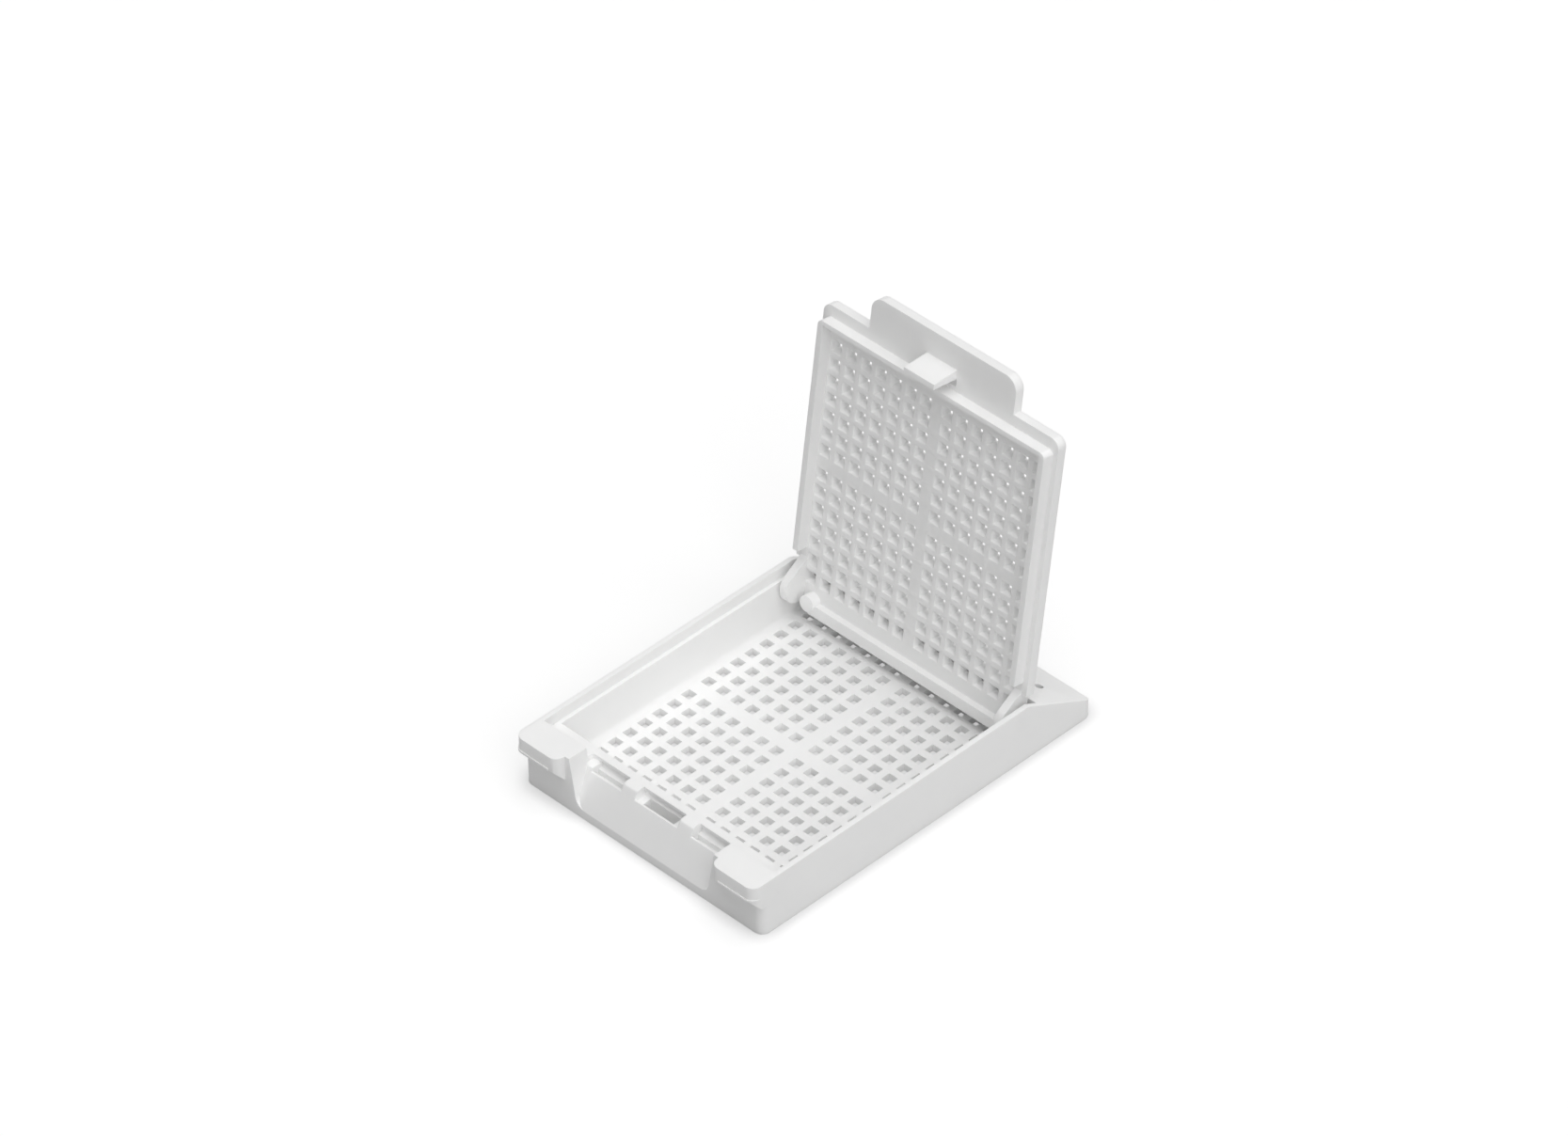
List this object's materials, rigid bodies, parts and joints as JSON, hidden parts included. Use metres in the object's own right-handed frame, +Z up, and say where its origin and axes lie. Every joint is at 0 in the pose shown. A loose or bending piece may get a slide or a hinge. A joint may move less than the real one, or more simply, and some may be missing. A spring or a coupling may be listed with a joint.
{
  "type": "tissue cassette",
  "caption": "Shallow tray with a grid of square drain holes, a sloping writing panel and a perforated lid that swings shut on pivot pins and latches with a hook.",
  "frame": {"origin": "middle of the overall length and width, on the underside that the cassette lies on", "axes": "+X along the cassette from the latch end to the writing panel, +Z up out of the tray, Y across between the two pivots"},
  "size_m": [0.0412, 0.0286, 0.0351],
  "materials": {
    "acetal": "satin moulded white acetal"
  },
  "bodies": {
    "base": {"base": "acetal"},
    "lid": {"lid": "acetal"}
  },
  "joints": [
    {"name": "lid_hinge", "type": "hinge", "parent": "base", "child": "lid", "pos_m": [0.01164, 0, 0.00393], "axis": [0, -1, 0], "range_deg": [0, 98]}
  ]
}
